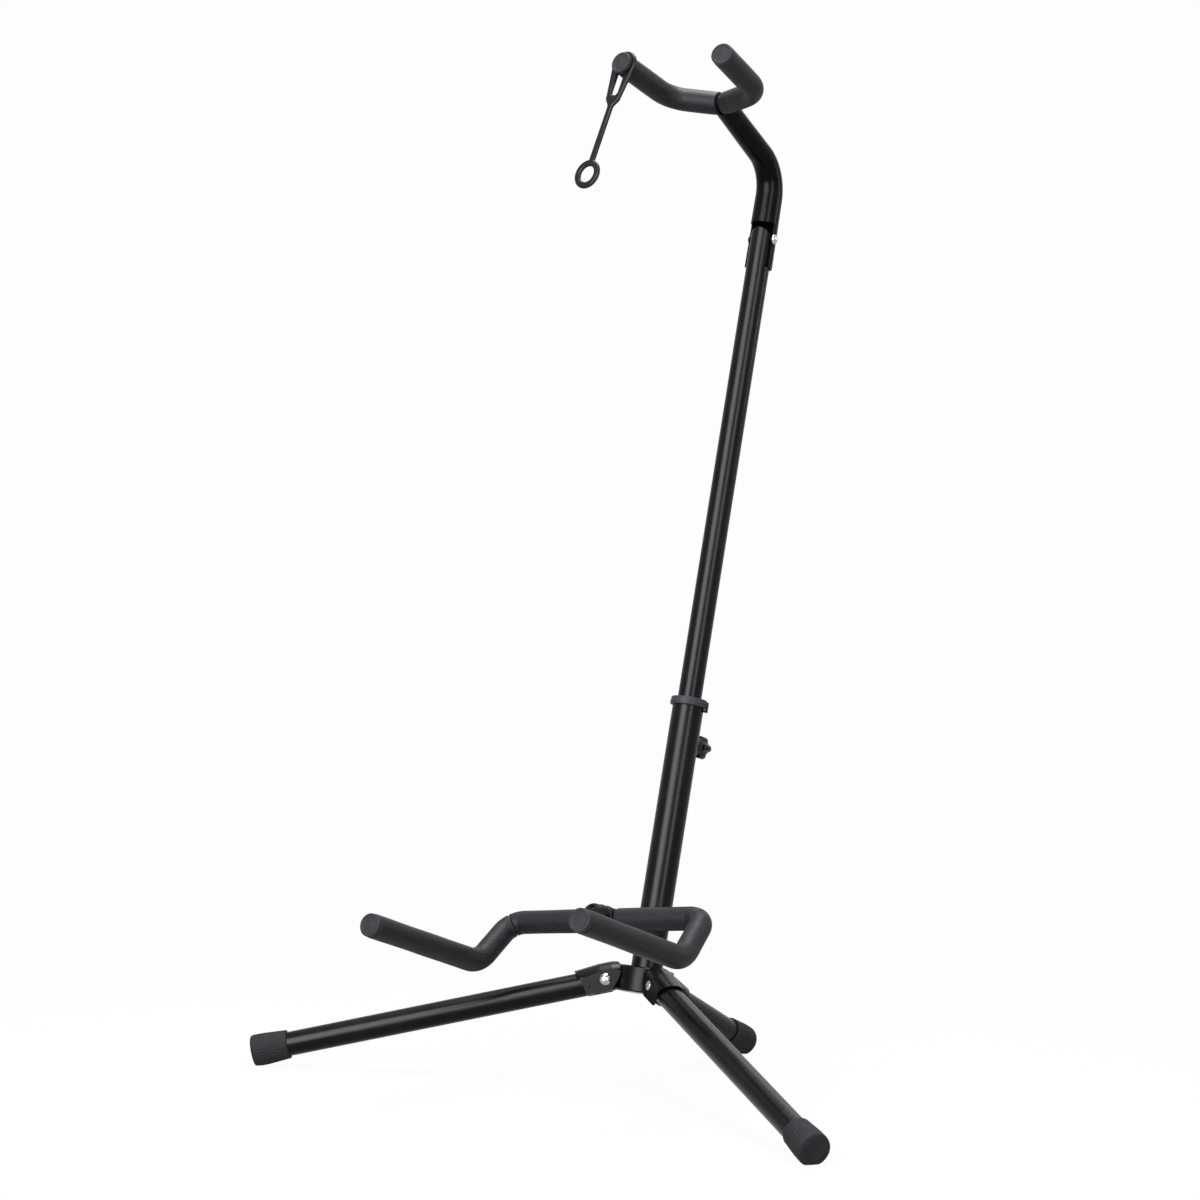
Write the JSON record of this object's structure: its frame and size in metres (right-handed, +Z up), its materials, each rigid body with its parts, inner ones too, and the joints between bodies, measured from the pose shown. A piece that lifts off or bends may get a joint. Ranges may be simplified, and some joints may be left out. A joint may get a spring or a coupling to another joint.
{
  "type": "folding guitar stand",
  "caption": "Leaning folding stand with hinged tube legs, a telescopic column, a padded cradle that rocks and folds, and a padded neck yoke on a folding gooseneck with a strap.",
  "frame": {"origin": "on the floor, in the middle of the stand's outline seen from above", "axes": "+Z up, +Y towards the rear leg, -Y towards the cradle's open end, +X to the right seen from the front"},
  "size_m": [0.5254, 0.3934, 0.8063],
  "materials": {
    "black_paint": "satin black paint on steel",
    "black_plastic": "moulded black plastic",
    "foot_rubber": "matte black rubber",
    "strap_rubber": "smooth black rubber",
    "foam": "dark grey closed-cell foam",
    "bright_steel": "bright nickel plate"
  },
  "bodies": {
    "base": {"lower_tube": "black_paint", "hub_casting": "black_paint", "column_plug": "black_plastic", "collar_bush": "black_plastic", "clamp_nut": "black_plastic", "cradle_stub": "black_paint", "head_stop_pin": "bright_steel", "rear_pivot_rivet": "bright_steel", "left_pivot_rivet": "bright_steel", "right_pivot_rivet": "bright_steel"},
    "mast": {"upper_tube": "black_paint", "mast_guide_bush": "black_plastic", "yoke_fold_rivet": "bright_steel"},
    "clamp_screw": {"clamp_screw": "bright_steel"},
    "clamp_knob": {"clamp_knob": "black_plastic"},
    "neck": {"gooseneck": "black_paint", "neck_plug": "black_plastic", "yoke_rod": "black_paint", "yoke_foam_left": "foam", "yoke_foam_right": "foam", "yoke_cap_left": "black_plastic", "yoke_cap_right": "black_plastic"},
    "strap": {"neck_strap": "strap_rubber"},
    "cradle_head": {"head_base": "black_plastic", "head_cap": "black_plastic", "head_screws": "bright_steel"},
    "cradle": {"cradle_rod": "black_paint", "cradle_bar_foam_left": "foam", "cradle_bar_foam_right": "foam", "cradle_arm_foam_left": "foam", "cradle_arm_foam_right": "foam", "cradle_cap_left": "black_plastic", "cradle_cap_right": "black_plastic"},
    "left_leg": {"left_leg_bracket": "black_paint", "left_leg_tube": "black_paint", "left_foot": "foot_rubber", "left_roll_pin": "bright_steel"},
    "right_leg": {"right_leg_bracket": "black_paint", "right_leg_tube": "black_paint", "right_foot": "foot_rubber", "right_roll_pin": "bright_steel"},
    "rear_leg": {"rear_leg_bracket": "black_paint", "rear_leg_tube": "black_paint", "rear_foot": "foot_rubber", "rear_roll_pin": "bright_steel"}
  },
  "joints": [
    {"name": "left_leg_fold", "type": "hinge", "parent": "base", "child": "left_leg", "pos_m": [-0.02598, 0.02214, 0.0763], "axis": [0.5, -0.8431, 0.1978], "range_deg": [0, 69.6]},
    {"name": "right_leg_fold", "type": "hinge", "parent": "base", "child": "right_leg", "pos_m": [0.02598, 0.02214, 0.0763], "axis": [0.5, 0.8431, -0.1978], "range_deg": [0, 69.6]},
    {"name": "rear_leg_fold", "type": "hinge", "parent": "base", "child": "rear_leg", "pos_m": [0, 0.06595, 0.06602], "axis": [-1, 0, 0], "range_deg": [0, 78.2]},
    {"name": "height_slide", "type": "slide", "parent": "base", "child": "mast", "axis": [0, 0.2284, 0.9736], "range_m": [-0.125, 0.03]},
    {"name": "screw_travel", "type": "slide", "parent": "base", "child": "clamp_screw", "axis": [0, 0.9736, -0.2284], "range_m": [0, 0.0021]},
    {"name": "knob_turn", "type": "hinge", "parent": "clamp_screw", "child": "clamp_knob", "pos_m": [0, 0.08123, 0.26253], "axis": [0, 0.9736, -0.2284], "range_deg": [0, 720]},
    {"name": "yoke_fold", "type": "hinge", "parent": "mast", "child": "neck", "pos_m": [0, 0.17675, 0.66977], "axis": [1, 0, 0], "range_deg": [0, 100]},
    {"name": "strap_swing", "type": "hinge", "parent": "neck", "child": "strap", "pos_m": [-0.04653, 0.039, 0.79477], "axis": [-0.0841, -0.9498, 0.3013], "range_deg": [-100, 75]},
    {"name": "cradle_rock", "type": "hinge", "parent": "base", "child": "cradle_head", "pos_m": [0, -0.0182, 0.12982], "axis": [0, -0.9736, 0.2284], "range_deg": [-17.2, 2.8]},
    {"name": "cradle_fold", "type": "hinge", "parent": "cradle_head", "child": "cradle", "pos_m": [0, -0.0182, 0.12982], "axis": [-0.9921, -0.0286, -0.122], "range_deg": [0, 90]}
  ],
  "couplings": [
    {"joint": "screw_travel", "follows": "knob_turn", "m_per_rad": 0.00015915}
  ]
}
